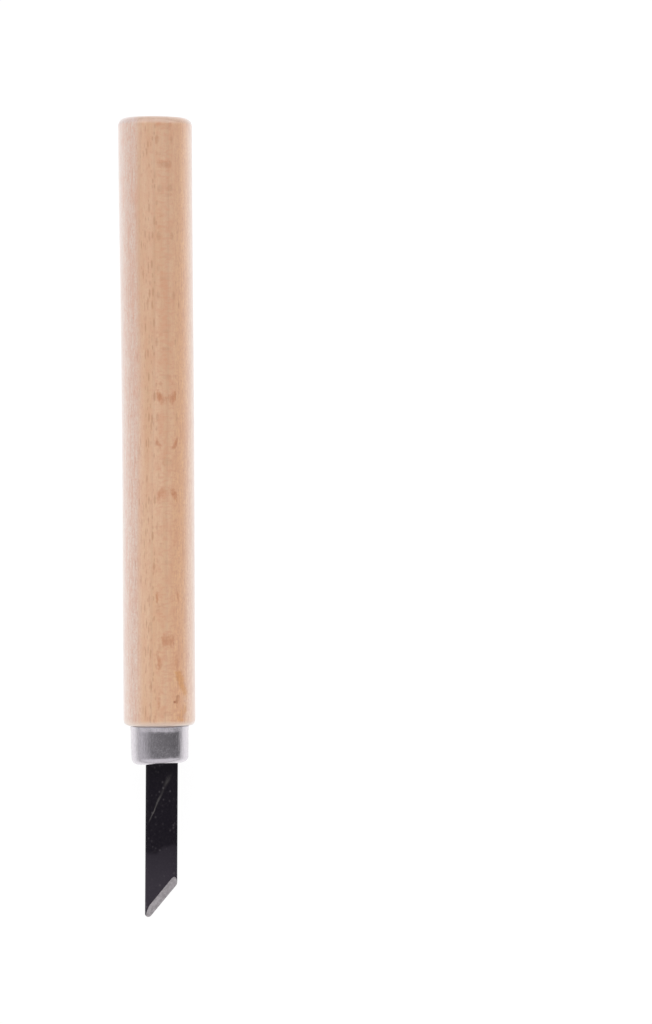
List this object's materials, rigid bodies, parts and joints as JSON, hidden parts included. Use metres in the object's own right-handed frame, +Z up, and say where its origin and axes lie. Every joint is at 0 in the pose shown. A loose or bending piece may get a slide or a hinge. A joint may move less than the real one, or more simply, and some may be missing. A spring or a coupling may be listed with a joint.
{
  "type": "lino cutter",
  "caption": "Skew-edged lino and wood-carving knife: a strip steel blade in a drawn ferrule on a plain round beech handle.",
  "frame": {"origin": "on the table, below the middle of the whole tool, as it lies on its handle", "axes": "+Y from the blade's tip to the handle's butt, +Z up and square to the blade's broad faces, +X towards the blade's heel side"},
  "size_m": [0.0126, 0.1392, 0.0126],
  "materials": {
    "beech": "clear satin lacquer over sanded beech, grain along the handle",
    "ferrule_metal": "bright as drawn, with a fine crystalline grain",
    "blade_steel": "black oxide, with both bevels ground bright"
  },
  "bodies": {
    "root": {"handle": "beech", "ferrule": "ferrule_metal", "blade": "blade_steel"}
  },
  "joints": []
}
